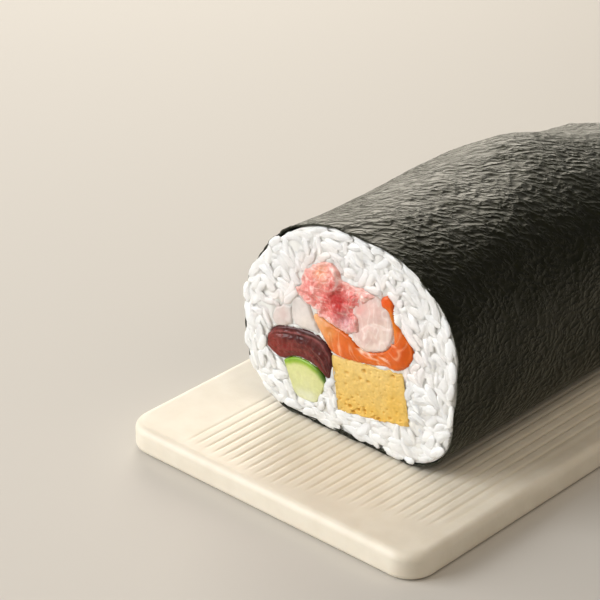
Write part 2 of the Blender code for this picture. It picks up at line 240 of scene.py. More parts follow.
def add_piece(name, points, faces, material, node=None, slot=None, colour=None, **numbers):
    """A closed mesh of points in millimetres, put in as a piece that rides on the root body.

    Points that share a place are merged, which closes seams and poles, and faces are turned
    outwards if the mesh's volume comes out negative. colour and numbers are values per point,
    which the material reads as attributes.
    """
    mesh = bpy.data.meshes.new(name)
    mesh.from_pydata((np.asarray(points) * MM).tolist(), [], [list(face) for face in faces])
    if colour is not None:
        layer = mesh.attributes.new("tint", "FLOAT_COLOR", "POINT")
        layer.data.foreach_set("color", np.insert(colour, 3, 1.0, axis=1).ravel())
    for key, values in numbers.items():
        layer = mesh.attributes.new(key, "FLOAT", "POINT")
        layer.data.foreach_set("value", np.asarray(values, float).ravel())
    shape = closed_shape(mesh)
    shape.to_mesh(mesh)
    shape.free()
    mesh.shade_smooth()
    mesh.materials.append(material)
    piece = bpy.data.objects.new(name, mesh)
    bpy.context.scene.collection.objects.link(piece)
    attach(piece, "root")
    if node:
        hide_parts(*node)
    return piece


def closed_shape(mesh):
    """The mesh with doubles merged and its faces turned outwards."""
    shape = bmesh.new()
    shape.from_mesh(mesh)
    bmesh.ops.remove_doubles(shape, verts=shape.verts, dist=SAME_PLACE)
    if shape.calc_volume(signed=True) < 0:
        bmesh.ops.reverse_faces(shape, faces=shape.faces)
    return shape


# Materials

def linear(code):
    """An sRGB hex colour as linear red, green and blue: the standard curve on each."""
    value = np.array([int(code[i:i + 2], 16) for i in (1, 3, 5)]) / 255
    return np.where(value <= 0.04045, value / 12.92, ((value + 0.055) / 1.055) ** 2.4)


def toward(colour, code, share):
    """Colours moved towards a hex colour by a share per point."""
    return colour + (linear(code) - colour) * share[..., None]


def node(tree, kind, inputs=None, stops=None, **settings):
    """Adds a node: settings are its properties, inputs are values or other nodes' outputs, and
    stops are the places and hex colours of a colour ramp."""
    made = tree.nodes.new("ShaderNode" + kind)
    for key, value in settings.items():
        setattr(made, key, value)
    for key, value in (inputs or {}).items():
        if isinstance(value, bpy.types.NodeSocket):
            tree.links.new(value, made.inputs[key])
        elif isinstance(value, str):
            made.inputs[key].default_value = (*linear(value), 1)
        else:
            made.inputs[key].default_value = value
    for index, (place, code) in enumerate(stops or ()):
        elements = made.color_ramp.elements
        element = elements[index] if index < 2 else elements.new(place)
        element.position = place
        element.color = (*linear(code), 1)
    return made


def wire(tree, shader, **outputs):
    """Links outputs to the shader's sockets of these names."""
    for key, output in outputs.items():
        tree.links.new(output, shader.inputs[key.replace("_", " ")])


def new_material(name, **values):
    """A material, its node tree and its Principled shader with these values on its sockets."""
    material = bpy.data.materials.new(name)
    material.use_nodes = True
    tree = material.node_tree
    shader = tree.nodes["Principled BSDF"]
    for key, value in values.items():
        socket = shader.inputs[key.replace("_", " ")]
        socket.default_value = (*linear(value), 1) if isinstance(value, str) else value
    return material, tree, shader


def glazed_stoneware():
    """Cream matt glaze over stoneware: soft broad highlights, a little warmer where it pools
    in the grooves, with faint mottling a few millimetres across."""
    material, tree, shader = new_material(
        "glazed_stoneware", Roughness=0.5, IOR=1.5, Subsurface_Weight=0.12,
        Subsurface_Radius=(1.0, 0.75, 0.5), Subsurface_Scale=0.0012,
        Coat_Weight=0.08, Coat_Roughness=0.45)
    place = node(tree, "TexCoord").outputs["Object"]
    mottle = node(tree, "TexNoise", {"Vector": place, "Scale": 180.0, "Detail": 4.0})
    glaze = node(tree, "ValToRGB", {"Fac": mottle.outputs["Fac"]},
                 stops=[(0.35, "#E4DBC9"), (0.65, "#EAE2D1")])
    groove = node(tree, "Attribute", attribute_name="groove")
    mixed = node(tree, "Mix", {0: groove.outputs["Fac"], 6: glaze.outputs["Color"],
                                         7: "#E2D7BF"}, data_type="RGBA")
    speckle = node(tree, "TexNoise", {"Vector": place, "Scale": 900.0, "Detail": 3.0})
    bump = node(tree, "Bump", {"Height": speckle.outputs["Fac"], "Strength": 0.12,
                                         "Distance": 0.0002})
    wire(tree, shader, Base_Color=mixed.outputs[2], Normal=bump.outputs["Normal"])
    return material


def toasted_nori():
    """Dried seaweed pressed like paper: black-green, with fibres along the sheet and a grey
    silky sheen where light grazes its crinkles."""
    material, tree, shader = new_material(
        "toasted_nori", IOR=1.5, Coat_Weight=0.1, Coat_Roughness=0.3, Specular_IOR_Level=0.34,
        Specular_Tint="#E9ECC6", Sheen_Weight=0.19, Sheen_Roughness=0.28, Sheen_Tint="#C8CDBA")
    place = node(tree, "TexCoord").outputs["Object"]
    drawn = node(tree, "Mapping", {"Vector": place, "Scale": (1.0, 1.8, 1.0),
                                             "Rotation": (0, 0, radians(-50))},
                 vector_type="TEXTURE")
    fibre = node(tree, "TexNoise", {"Vector": drawn.outputs["Vector"], "Scale": 520.0,
                                              "Detail": 6.0, "Roughness": 0.65})
    blotch = node(tree, "TexNoise", {"Vector": place, "Scale": 70.0, "Detail": 3.0})
    dark = node(tree, "ValToRGB", {"Fac": fibre.outputs["Fac"]},
                stops=[(0.3, "#060703"), (0.62, "#0E0F05"), (0.8, "#22240F")])
    olive = node(tree, "ValToRGB", {"Fac": fibre.outputs["Fac"]},
                 stops=[(0.3, "#0A0903"), (0.6, "#141306"), (0.85, "#302F12")])
    colour = node(tree, "Mix", {0: blotch.outputs["Fac"], 6: dark.outputs["Color"],
                                          7: olive.outputs["Color"]}, data_type="RGBA")
    gloss = node(tree, "MapRange", {"Value": fibre.outputs["Fac"], "From Min": 0.3,
                                              "From Max": 0.7, "To Min": 0.32, "To Max": 0.6})
    crinkle = node(tree, "TexNoise", {"Vector": drawn.outputs["Vector"],
                                                "Scale": 600.0, "Detail": 4.0, "Roughness": 0.6,
                                                "Offset": 0.85, "Gain": 1.6},
                   noise_type="RIDGED_MULTIFRACTAL")
    patch = node(tree, "MapRange", {"Value": blotch.outputs["Fac"], "From Min": 0.35,
                                              "From Max": 0.65, "To Min": 0.5, "To Max": 1.3})
    height = node(tree, "Math", {0: crinkle.outputs["Fac"], 1: patch.outputs["Result"]},
                  operation="MULTIPLY")
    bump = node(tree, "Bump", {"Height": height.outputs["Value"], "Strength": 1.0,
                                         "Distance": 0.0005})
    wire(tree, shader, Base_Color=colour.outputs[2], Roughness=gloss.outputs["Result"],
         Normal=bump.outputs["Normal"])
    return material


def flesh(name, grain, mottle, bump_height, **values):
    """Moist food that light enters: its tint is painted on the piece, broken up by mottling
    at grain millimetres, with fine unevenness that scatters its highlights."""
    material, tree, shader = new_material(name, **values)
    shader.subsurface_method = "BURLEY"
    tint = node(tree, "Attribute", attribute_name="tint")
    place = node(tree, "TexCoord").outputs["Object"]
    speck = node(tree, "TexNoise", {"Vector": place, "Scale": 1000 / grain,
                                              "Detail": 5.0, "Roughness": 0.6})
    shade = node(tree, "MapRange", {"Value": speck.outputs["Fac"], "From Min": 0.25,
                                              "From Max": 0.75, "To Min": 1 - mottle,
                                              "To Max": 1 + mottle})
    colour = node(tree, "VectorMath", {0: tint.outputs["Color"],
                                                 "Scale": shade.outputs["Result"]},
                  operation="SCALE")
    bump = node(tree, "Bump", {"Height": speck.outputs["Fac"], "Strength": 0.5,
                                         "Distance": bump_height * MM})
    wire(tree, shader, Base_Color=colour.outputs["Vector"], Normal=bump.outputs["Normal"])
    return material


# Plate

def plate_axis(half, fine_step):
    """Coordinates across the plate: edge steps that follow a quarter circle, even between."""
    bend = np.sin(np.linspace(0, np.pi / 2, PLATE_EDGE_STEPS))
    inner = half - PLATE_EDGE
    corner = half - PLATE_CORNER
    rim = half - PLATE_EDGE * (1 - bend[1:])
    slope = np.linspace(corner, inner, 8)[1:]
    middle = np.linspace(-corner, corner, int(2 * corner / fine_step))
    return np.concatenate([-rim[::-1], -slope[::-1], middle, slope, rim])


def plate_edge_distance(x, y):
    """How far inside the rounded rectangle a point is: the corner circle's radius minus the
    distance from its centre, or the distance to the nearer side."""
    ax, ay = np.abs(x) - CORNER_X, np.abs(y) - CORNER_Y
    outside = np.hypot(np.maximum(ax, 0), np.maximum(ay, 0))
    return PLATE_CORNER - outside - np.minimum(np.maximum(ax, ay), 0)


def groove_depth(x, y):
    """Share of the full groove depth: a rounded trough at each pitch, fading out at both ends
    and shallower towards the left. Each groove starts further back to the right."""
    number = np.round((LAST_GROOVE - x) / GROOVE_PITCH)
    middle = LAST_GROOVE - number * GROOVE_PITCH
    trough = smoothstep(1 - np.abs(x - middle) / (GROOVE_WIDTH / 2))
    strength = np.clip(0.45 + 0.2 * (GROOVE_COUNT - 1 - number), 0.2, 1)
    start = GROOVE_FRONT + 0.28 * np.clip(middle, 0, 40)
    ends = smoothstep((y - start) / GROOVE_FADE) * smoothstep((GROOVE_BACK - y) / GROOVE_FADE)
    return trough * strength * ends * ((number >= 0) & (number < GROOVE_COUNT))


def make_plate():
    """A flat slab as a height field over a rounded rectangle, with a side wall and a flat foot.

    The square corner blocks of the grid are pressed into quarter discs by multiplying each
    coordinate by the square root of 1 minus half the square of the other. The top falls away
    at the edge as a quarter circle and dips at the grooves.
    """
    x, y = np.meshgrid(plate_axis(PLATE_WIDTH / 2, GROOVE_PITCH / 10),
                       plate_axis(PLATE_LENGTH / 2, PLATE_LONG_STEP))
    a = np.clip((np.abs(x) - CORNER_X) / PLATE_CORNER, 0, 1)
    b = np.clip((np.abs(y) - CORNER_Y) / PLATE_CORNER, 0, 1)
    x = x + np.sign(x) * PLATE_CORNER * a * (np.sqrt(1 - b**2 / 2) - 1)
    y = y + np.sign(y) * PLATE_CORNER * b * (np.sqrt(1 - a**2 / 2) - 1)
    edge = np.clip(plate_edge_distance(x, y), 0, PLATE_EDGE)
    fall = PLATE_EDGE - np.sqrt(np.maximum(PLATE_EDGE**2 - (PLATE_EDGE - edge) ** 2, 0))
    groove = groove_depth(x, y)
    uneven = noises(pair(x, y), (PLATE_UNEVEN, 17, 3), (0.03, 6, 4)) - PLATE_UNEVEN
    z = PLATE_THICKNESS - fall - GROOVE_DEPTH * groove + uneven * smoothstep(edge / PLATE_EDGE)
    rows, columns = x.shape
    top = np.stack([x, y, z], -1).reshape(-1, 3)
    index = np.arange(rows * columns).reshape(rows, columns)
    ring = np.concatenate([index[0, :-1], index[:-1, -1], index[-1, :0:-1], index[:0:-1, 0]])
    rim = top[ring]
    outwards = rim[:, :2] - np.clip(rim[:, :2], [-CORNER_X, -CORNER_Y], [CORNER_X, CORNER_Y])
    outwards /= np.linalg.norm(outwards, axis=1, keepdims=True)
    wall_turn = np.linspace(0, np.pi / 2, 6)
    inset = np.concatenate([[0, 0], PLATE_FOOT_EDGE * (1 - np.cos(wall_turn))])
    height = np.concatenate([[PLATE_THICKNESS - PLATE_EDGE - 0.7, PLATE_FOOT_EDGE + 0.6],
                             PLATE_FOOT_EDGE * (1 - np.sin(wall_turn))])
    wall = np.concatenate([np.c_[rim[:, :2] - outwards * i, np.full(len(rim), h)]
                           for i, h in zip(inset, height)])
    count = len(ring)
    rings = np.concatenate([ring[None], len(top) + np.arange(len(wall)).reshape(-1, count)])
    onward = np.roll(rings, -1, 1)
    side = np.stack([rings[1:], onward[1:], onward[:-1], rings[:-1]], -1)
    faces = quads(rows, columns).tolist() + side.reshape(-1, 4).tolist()
    faces.append(rings[-1][::-1].tolist())
    depth = np.concatenate([groove.ravel(), np.zeros(len(wall))])
    return add_piece("ribbed_plate", np.vstack([top, wall]), faces, glazed_stoneware(),
                     node=["plate"], slot="plate", groove=depth * GROOVE_TINT)


# Roll

def roll_section():
    """The roll's section with its outward normals, counter-clockwise from its underside.

    A rounded loaf: x is half the width times the cosine to the power 2/p, and z the waist
    plus half the height times the sine to that power, with its own p in each quarter. It is
    flat where it rests.
    """
    angle = np.linspace(0, 2 * np.pi, 6 * SECTION_POINTS + 1) - np.pi / 2
    c, s = np.cos(angle), np.sin(angle)
    power = np.where(s > 0, np.where(c > 0, UPPER_RIGHT, UPPER_LEFT),
                     np.where(c > 0, LOWER_RIGHT, LOWER_LEFT))
    half_height = np.where(s > 0, ROLL_HEIGHT - WAIST_HEIGHT, WAIST_HEIGHT + UNDERSIDE_SINK)
    x = ROLL_WIDTH / 2 * np.sign(c) * np.abs(c) ** (2 / power)
    z = np.maximum(WAIST_HEIGHT + half_height * np.sign(s) * np.abs(s) ** (2 / power), 0)
    length = np.append(0, np.cumsum(np.hypot(np.diff(x), np.diff(z))))
    even = np.linspace(0, length[-1], SECTION_POINTS + 1)
    line = pair(np.interp(even, length, x), np.interp(even, length, z))[:-1]
    slope = np.roll(line, -3, axis=0) - np.roll(line, 3, axis=0)
    normal = pair(slope[:, 1], -slope[:, 0])
    return line, normal / np.linalg.norm(normal, axis=1, keepdims=True), length[-1]


SECTION, SECTION_NORMAL, PERIMETER = roll_section()
SECTION_PLACE = np.linspace(0, PERIMETER, SECTION_POINTS, endpoint=False)


def on_section(around, column):
    """A value of the section's points, read at a distance round it."""
    return np.interp(around, SECTION_PLACE, column, period=PERIMETER)


def taper(along):
    """Scale of the section at this distance from the cut face."""
    return 1 - TAPER * smoothstep((along - TAPER_START) / (ROLL_LENGTH - TAPER_START))


def skin(around, along, outwards):
    """Points x, along, z of the roll's skin: the section at that distance round it, times the
    taper, plus its normal times the distance outwards."""
    x, z, nx, nz = (on_section(around, column) for column in (*SECTION.T, *SECTION_NORMAL.T))
    turn = 2 * np.pi * around / PERIMETER
    swing = np.sin(4 * turn + along / 9) + 0.7 * np.sin(7 * turn - along / 6 + 1.3)
    outwards = outwards + WAVE * swing * smoothstep((z - 3) / 12)
    scale = taper(along)
    return np.stack([x * scale + nx * outwards, along + 0 * x, z * scale + nz * outwards], -1)


def lay(points):
    """Section points, as x, along and z, where the roll lies on its plate."""
    return points + np.array([ROLL_X, ROLL_FRONT, ROLL_SEAT])


def make_nori():
    """The sheet: a line wound a little over once round the section, carried along the roll.

    Its skin is lifted by lumps, as the grains press through it, and by slanting creases, where
    noise crosses zero. Its cut edges curl and are a little ragged, and the front one is set
    back on the left.
    """
    steps, fine, rows = 82, 5, 166  # the outside has five points to each one inside
    around = np.linspace(-NORI_OVERLAP / 2, PERIMETER + NORI_OVERLAP / 2, fine * steps + 1)
    along = np.linspace(0, ROLL_LENGTH, rows)[:, None]
    from_far = ROLL_LENGTH - along
    both = np.stack(np.broadcast_arrays(around, along), -1)
    free = smoothstep((on_section(around, SECTION[:, 1]) - 0.5) / 6)
    slant = pair(0.6 * around + 0.8 * along, 0.6 * along - 0.8 * around)
    slant[..., 0] += 0.9 * noise(both, 7.0, 10)
    lift = (noises(both, (0.13, (3.4, 4.6), 11), (0.26, (9, 13), 12))
            + 0.05 * noise(slant, (1.6, 2.6), 13))
    creases = (0.07 * (0.35 - np.abs(noise(slant, (2.2, 4.4), 14)))
               + 0.11 * (0.35 - np.abs(noise(slant + 50, (1.3, 2.3), 15)))
               + 0.07 * (0.35 - np.abs(noise(both + 90, (1.0, 1.3), 19))))
    creases *= 0.6 + 1.15 * smoothstep(0.5 + noise(both, (8, 13), 20))
    curl = 0.22 * noise(both, (2.6, 50), 16) * (bell(along, 1.6) + bell(from_far, 1.6))
    inner_end = 1 - smoothstep((around - NORI_OVERLAP / 2) / NORI_STEP)
    lift = (lift + creases + curl) * free - (NORI_THICKNESS + NORI_SEAM_GAP) * inner_end
    ragged = (0.22 * noise(both, (1.3, 50), 17)
              + 0.3 * np.clip(noise(both, (2.9, 50), 18) - 0.25, 0, 1))
    behind = 0.2 + 0.75 * smoothstep((-18 - on_section(around, SECTION[:, 0])) / 8)
    shift = bell(along, 3) * (behind + ragged) - bell(from_far, 3) * (0.1 + ragged)
    outer = skin(around + 0 * along, along + 0 * around, lift)
    outer[..., 1] += shift
    few = np.arange(0, fine * steps + 1, fine)[::-1]
    inner = skin(around[few] + 0 * along, along + 0 * around[few], lift[:, few] - NORI_THICKNESS)
    inner[..., 1] += shift[:, few]
    loop = np.concatenate([outer, inner], 1)
    columns = loop.shape[1]
    faces = quads(rows, columns, close_columns=True).tolist()
    cap = [[columns - 1 - step, columns - 2 - step,
            *range(fine * (step + 1), fine * step - 1, -1)] for step in range(steps)]
    far = [[(rows - 1) * columns + index for index in face[::-1]] for face in cap]
    return add_piece("nori_sheet", lay(loop.reshape(-1, 3)), faces + cap + far, toasted_nori(),
                     node=["nori"], slot="nori")


# Fillings' outlines

def corner_points(previous, corner, following, radius):
    """Three points that round a corner off."""
    previous, corner, following = (np.array(p, float) for p in (previous, corner, following))
    back = (previous - corner) / np.linalg.norm(previous - corner) * radius
    on = (following - corner) / np.linalg.norm(following - corner) * radius
    return [corner + back, corner + (back + on) * 0.28, corner + on]


OMELETTE = [(-3.8, 18.2), (-1.8, 5.6), (17.3, 9.2), (15.3, 20.7)]
SALMON_PATH = np.array([
    (-9.2, 26.3, 0.7), (-6.1, 24.2, 1.8), (-2.8, 22.3, 3.1), (0.2, 21.7, 2.8), (3.2, 21.2, 1.7),
    (6.5, 21.6, 1.4), (9.8, 22.5, 1.5), (13.6, 24.1, 2.7), (15.2, 27.0, 2.9), (14.2, 29.6, 1.4),
    (12.7, 32.2, 0.5), (11.9, 34.3, 0.7), (11.0, 35.7, 1.8), (9.6, 36.9, 1.7)])

CUCUMBER_MIDDLE = (-12.1, 4.8)
CUCUMBER_SKIN = arc(CUCUMBER_MIDDLE, 9.3, 129, 45, 9)

# Each filling's lower and upper edge from its left tip to its right tip.
EDGES = {
    "marinated_tuna": (
        [(-22.9, 15.2), (-22.8, 13.9), (-20.6, 12.7), *arc(CUCUMBER_MIDDLE, 9.7, 128, 50, 5),
         (-4.5, 12.4)],
        [(-22.9, 15.2), (-22.7, 16.9), (-20.2, 19.5), (-15.5, 20.9), (-9.5, 21.5), (-6.3, 20.9),
         (-4.4, 18.7), (-4.2, 15.5), (-4.5, 12.4)]),
    "cucumber": (
        [CUCUMBER_SKIN[0], *corner_points((-17.95, 12.03), (-14.6, 4.7), (-8.7, 4.7), 1.4),
         *corner_points((-14.6, 4.7), (-8.7, 4.7), (-5.5, 11.4), 1.4), CUCUMBER_SKIN[-1]],
        CUCUMBER_SKIN),
    "tamagoyaki": (
        [(-2.8, 11.9), *corner_points(OMELETTE[0], OMELETTE[1], OMELETTE[2], 1.2),
         *corner_points(OMELETTE[1], OMELETTE[2], OMELETTE[3], 1.2), (16.3, 15.0)],
        [(-2.8, 11.9), *corner_points(OMELETTE[1], OMELETTE[0], OMELETTE[3], 1.2),
         *corner_points(OMELETTE[0], OMELETTE[3], OMELETTE[2], 1.2), (16.3, 15.0)]),
    "shrimp": (
        [(2.2, 28.4), (2.4, 24.6), (5.2, 23.6), (8.6, 24.5), (11.2, 26.5), (12.0, 29.4)],
        [(2.2, 28.4), (2.7, 32.2), (4.2, 34.8), (7.0, 35.8), (9.9, 35.2), (11.6, 32.6),
         (12.0, 29.4)]),
    "minced_tuna": (
        [(-14.4, 30.9), (-12.6, 29.2), (-8.4, 27.6), (-5.2, 26.5), (-3.0, 25.9), (0.2, 25.6),
         (2.6, 27.2), (3.6, 30.4), (4.6, 33.2), (6.2, 35.0), (7.6, 36.2)],
        [(-14.4, 30.9), (-12.7, 32.6), (-12.4, 34.4), (-10.6, 36.7), (-6.9, 39.2), (-3.9, 39.6),
         (-1.5, 37.2), (0.6, 36.6), (4.4, 37.0), (7.6, 36.2)]),
    "white_fish_right": (
        [(-14.6, 22.0), (-9.6, 22.2), (-8.0, 22.5)],
        [(-14.6, 22.0), (-15.2, 23.6), (-14.9, 28.4), (-11.6, 28.0), (-9.9, 25.5), (-8.0, 22.5)]),
    "white_fish_left": (
        [(-21.2, 21.6), (-20.1, 20.3), (-16.4, 21.5), (-15.9, 23.6)],
        [(-21.2, 21.6), (-19.3, 24.7), (-16.2, 25.8), (-15.9, 23.6)]),
}


def band_edges(path, count):
    """Both edges of a slice along a curved path: the path plus and minus its normal times the
    half thickness, which rounds to nothing at the tips."""
    line = smooth_line(path, count)
    slope = np.gradient(line[:, :2], axis=0)
    normal = pair(-slope[:, 1], slope[:, 0])
    normal /= np.linalg.norm(normal, axis=1, keepdims=True)
    u = np.linspace(-1, 1, count)
    half = (line[:, 2] * np.sqrt(1 - u**24))[:, None]
    return line[:, :2] - normal * half, line[:, :2] + normal * half


def filling_edges(name, count):
    """A filling's lower and upper edge at count even steps."""
    if name == "salmon":
        return band_edges(SALMON_PATH, count)
    lower, upper = EDGES[name]
    return smooth_line(lower, count), smooth_line(upper, count)


def filling_loop(name):
    """A filling's closed outline, counter-clockwise."""
    lower, upper = filling_edges(name, 90)
    return np.vstack([lower, upper[-2:0:-1]])


# Rice

FILLINGS = [*EDGES, "salmon"]


def on_left(points):
    """1 on the left of the section, where the nori is set back, and 0 elsewhere."""
    return smoothstep((-14 - points[..., 0]) / 6) * smoothstep((points[..., 1] - 4) / 4)


def grain_places(seed, closeness, rim, loops, room):
    """Where grains lie in a cut face: middle, direction and size.

    Grains are thrown at random into the section, each as five points along its length. One
    that stays inside the rim and off the fillings' loops is kept if it comes no nearer to the
    kept ones than closeness. Near the skin they lie along it.
    """
    random = np.random.default_rng(seed)
    middle = random.uniform([-ROLL_WIDTH / 2, 0], [ROLL_WIDTH / 2, ROLL_HEIGHT],
                            (GRAIN_THROWS, 2))
    away = ((middle[:, None] - rim[::4]) ** 2).sum(-1)
    nearest = away.argmin(1) * 4
    depth = np.sqrt(away.min(1))
    along_skin = np.arctan2(-SECTION_NORMAL[nearest, 0], SECTION_NORMAL[nearest, 1])
    spread = 0.35 + 1.3 * smoothstep((depth - 1.5) / 5)
    angle = along_skin + random.normal(0, 1, GRAIN_THROWS) * spread
    size = random.uniform(0.7, 1.1, GRAIN_THROWS)
    axis = pair(np.cos(angle), np.sin(angle))
    reach = np.array([-0.38, -0.19, 0, 0.19, 0.38]) * GRAIN_LENGTH
    discs = middle[:, None] + axis[:, None] * reach[:, None] * size[:, None, None]
    good = inside(discs, rim).all(1)
    good &= (distance_to(discs, rim) > GRAIN_RIM - 0.3 * on_left(middle)[:, None]).all(1)
    for loop in loops:
        good &= ~inside(discs, loop).any(1) & (distance_to(discs, loop) > room).all(1)
    kept = np.empty((0, 5, 2))
    chosen = []
    for index in np.flatnonzero(good):
        gaps = ((kept[:, :, None] - discs[index]) ** 2).sum(-1)
        if not len(kept) or gaps.min() > closeness**2:
            kept = np.append(kept, discs[index][None], 0)
            chosen.append(index)
    return middle[chosen], angle[chosen], size[chosen]


def pressed_in(points, rim, swell):
    """Section points moved in along the skin's normal until they lie inside the nori.

    A point's depth is the distance along that normal from its nearest place on the rim. With
    swell at 1, the rice comes out past the nori's set-back edge on the left.
    """
    nearest = np.concatenate([((part[:, None] - rim[::4]) ** 2).sum(-1).argmin(1) * 4
                              for part in np.array_split(points.reshape(-1, 2), 20)])
    nearest = nearest.reshape(points.shape[:-1])
    depth = ((rim[nearest] - points) * SECTION_NORMAL[nearest]).sum(-1)
    least = 0.45 - swell * (0.13 + 0.45 * on_left(points)
                            + 0.15 * smoothstep((3 - points[..., 1]) / 2))
    return points - SECTION_NORMAL[nearest] * np.maximum(least - depth, 0)[..., None]


def grain_shapes(middle, angle, size, depth, random):
    """Grains as one array of points: rings round a blunt, slightly bent spindle.

    Each ring's radius is half the width times the root of 1 minus the 2.6th power of the
    place along the grain. The grain is turned to its direction and tipped a little.
    """
    t = np.array([-0.9, -0.5, 0.0, 0.5, 0.9])
    turn = np.linspace(0, 2 * np.pi, 8, endpoint=False)
    radius = GRAIN_WIDTH / 2 * np.sqrt(1 - np.abs(t) ** 2.6)
    ring = np.stack([np.broadcast_to(t[:, None] * GRAIN_LENGTH / 2, (5, 8)),
                     radius[:, None] * np.cos(turn), radius[:, None] * np.sin(turn) * 0.86], -1)
    tips = np.array([[-GRAIN_LENGTH / 2, 0, 0], [GRAIN_LENGTH / 2, 0, 0]])
    shape = np.vstack([ring.reshape(-1, 3), tips])
    count = len(middle)
    bend = random.uniform(-0.5, 0.5, (count, 1))
    local = shape[None] * (size[:, None, None] * np.stack([
        random.uniform(0.92, 1.12, count), random.uniform(0.9, 1.15, count),
        random.uniform(0.9, 1.1, count)], -1)[:, None])
    local[..., 1] += bend * (1 - (2 * local[..., 0] / GRAIN_LENGTH) ** 2)
    tip = random.normal(0, 0.16, (count, 1))
    forward = local[..., 0] * np.sin(tip) + local[..., 2] * np.cos(tip)
    length = local[..., 0] * np.cos(tip) - local[..., 2] * np.sin(tip)
    c, s = np.cos(angle)[:, None], np.sin(angle)[:, None]
    x = middle[:, :1] + length * c - local[..., 1] * s
    z = middle[:, 1:] + length * s + local[..., 1] * c
    return np.stack([x, depth[:, None] + forward, z], -1)


def grain_faces(near, far):
    """Faces of the grains: four bands of eight quads and a fan of eight triangles at each tip.

    The far face's grains are mirrored, so their faces run the other way round.
    """
    band = quads(5, 8, close_columns=True)
    first, last = np.arange(8), np.arange(32, 40)
    fans = [[40, (i + 1) % 8, i] for i in first] + [[41, j, 32 + (j - 31) % 8] for j in last]
    one = band.tolist() + fans
    other = [face[::-1] for face in one]
    return [[index + GRAIN_POINTS * grain for index in face] for grain in range(near + far)
            for face in (one if grain < near else other)]


def make_rice_core(material, loops):
    """Packed rice behind the grains: the section inside the nori, carried between two faces
    whose rings shrink to the middle, with lumps the size of grains, hollowed out behind each
    filling."""
    around = np.linspace(0, PERIMETER, 400, endpoint=False)
    depths = np.linspace(CORE_SETBACK, ROLL_LENGTH - CORE_SETBACK, 30)[:, None]
    side = skin(around + 0 * depths, depths + 0 * around, 0 * depths * around - CORE_INSET)
    shrink = np.linspace(0.985, 0.0, 90)[:, None, None]
    middle = np.array([0, 0, 22.0])

    def face(ring, outwards):
        rows = middle + (ring - middle) * np.array([1, 0, 1]) * shrink
        hollow = sum(inside(rows[..., [0, 2]] / taper(ring[0, 1]), loop) for loop in loops) > 0
        bumps = noises(rows[..., [0, 2]], (0.26, 1.7, 31), (0.2, 0.9, 32))
        bumps -= 0.4 * smoothstep((shrink[..., 0] - 0.93) / 0.05)
        rows[..., 1] = ring[:, 1] + outwards * (bumps - CORE_HOLLOW * hollow)
        return rows

    near, far = face(side[0], -1), face(side[-1], 1)
    near[-1] = near[-1].mean(0)
    far[-1] = far[-1].mean(0)
    grid = np.concatenate([near[::-1], side, far])
    rows, columns = grid.shape[:2]
    points = lay(grid.reshape(-1, 3))
    faces = quads(rows, columns, close_columns=True)
    tint = np.broadcast_to(linear("#F0EFEB"), points.shape)
    return add_piece("rice_core", points, faces.tolist(), material, node=["rice"], slot="rice",
                     colour=tint)


def make_rice_grains(material, loops):
    """Whole and cut grains over both end faces, in two depths. The knife presses them towards
    its plane, to a third of their depth, and dents them against each other."""
    fish = np.vstack([loops[FILLINGS.index(name)]
                      for name in ("minced_tuna", "salmon", "shrimp", "white_fish_left")])
    every, tone = [], []
    for far in (False, True):
        for layer, (depth, closeness, room) in enumerate([(0.85, 0.82, 0.65), (1.2, 0.9, 0.35)]):
            seed = 60 + layer + 10 * far
            random = np.random.default_rng(seed + 100)
            end = ROLL_LENGTH * far
            rim = skin(SECTION_PLACE, end, 0 * SECTION_PLACE)[:, [0, 2]] / taper(end)
            middle, angle, size = grain_places(seed, closeness, rim, loops, room)
            depths = depth + random.uniform(-0.2, 0.25, len(middle))
            grains = grain_shapes(middle, angle, size, depths, random)
            plane = 0.25 * noise(grains[..., [0, 2]], 7.0, 41 + far) - 0.05
            grains[..., 1] = plane + (grains[..., 1] - plane) * GRAIN_PRESS
            warm = np.exp(-distance_to(grains[..., [0, 2]], fish) / 3.0)
            warm *= grains[..., 2] > 20
            shade = random.uniform(-1, 1, len(middle))[:, None] + 0 * warm
            dent = 0.16 * noise(grains, 1.3, 43)
            grains += dent[..., None] * np.array([1.2, -0.5, 1.2])
            grains[..., [0, 2]] = pressed_in(grains[..., [0, 2]], rim, 1 - far)
            if far:
                grains[..., [0, 2]] *= taper(ROLL_LENGTH)
                grains[..., 1] = ROLL_LENGTH - grains[..., 1]
            every.append(grains.reshape(-1, 3))
            tone.append(pair(warm, shade).reshape(-1, 2))
    points = np.vstack(every)
    warm, shade = np.vstack(tone).T
    white, pink, grey = linear("#E9EBEC"), linear("#EED9D3"), linear("#E3E2DE")
    tint = white + (pink - white) * warm[:, None] * 0.55
    tint = tint + (grey - white) * (0.5 + 0.5 * shade)[:, None] * 0.6
    near = sum(len(part) for part in every[:2]) // GRAIN_POINTS
    faces = grain_faces(near, len(points) // GRAIN_POINTS - near)
    return add_piece("rice_grains", lay(points), faces, material, slot="rice", colour=tint)


# Fillings

def painted(points, base, spots, seed, blur=1.2):
    """Colour per section point: a base, then spots in order, each fading from its middle as a
    bell of its own width. The points are first moved by noise so that no spot is round."""
    wide_warp = pair(noise(points, 2.6, seed), noise(points, 2.6, seed + 1))
    fine_warp = pair(noise(points, 0.9, seed + 2), noise(points, 0.9, seed + 3))
    moved = points + (wide_warp + 0.4 * fine_warp) * blur
    colour = np.broadcast_to(linear(base), (*points.shape[:-1], 3))
    for x, z, wide, high, code, strength in spots:
        away = np.hypot((moved[..., 0] - x) / wide, (moved[..., 1] - z) / high)
        colour = toward(colour, code, strength * np.exp(-away**2))
    return colour


